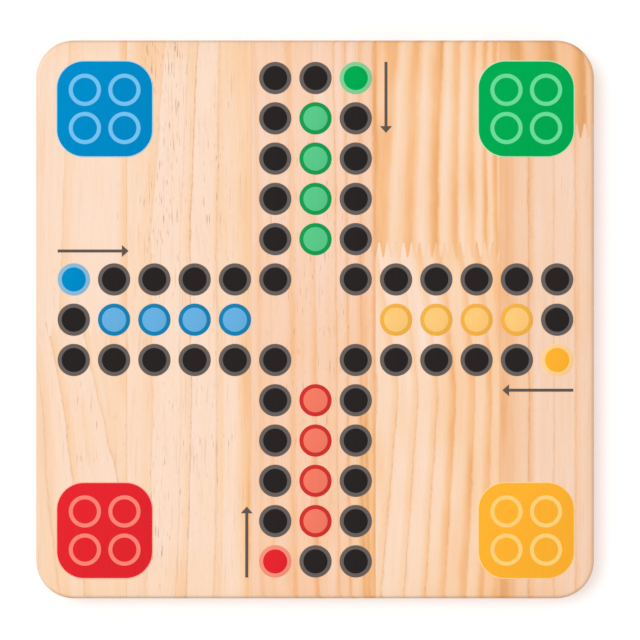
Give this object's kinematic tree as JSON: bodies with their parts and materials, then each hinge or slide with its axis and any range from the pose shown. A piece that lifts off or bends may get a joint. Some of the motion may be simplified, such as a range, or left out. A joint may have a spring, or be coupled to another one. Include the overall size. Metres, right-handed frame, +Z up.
{
  "type": "race game board",
  "caption": "Flat wooden race game board: an edge-glued pine panel with rounded corners, printed with a cross of round fields, corner nests and arrows, for pawns to move on.",
  "frame": {"origin": "middle of the underside, on the surface that the board lies on", "axes": "+Z up out of the printed face; +Y along the wood grain, towards the blue and green nests; +X towards the green and yellow nests"},
  "size_m": [0.2708, 0.2708, 0.0121],
  "materials": {
    "pale_pine": "satin",
    "flecked_pine": "satin",
    "fine_grained_pine": "satin",
    "banded_pine": "satin",
    "rosy_pine": "satin",
    "black_print": "satin",
    "blue_print": "satin",
    "green_print": "satin",
    "yellow_print": "satin",
    "red_print": "satin"
  },
  "bodies": {
    "root": {"stave_1_rear": "pale_pine", "stave_1_front": "pale_pine", "stave_2": "flecked_pine", "stave_3": "fine_grained_pine", "stave_4_rear": "banded_pine", "stave_4_front": "banded_pine", "stave_5_rear": "rosy_pine", "stave_5_front": "rosy_pine"}
  },
  "joints": []
}
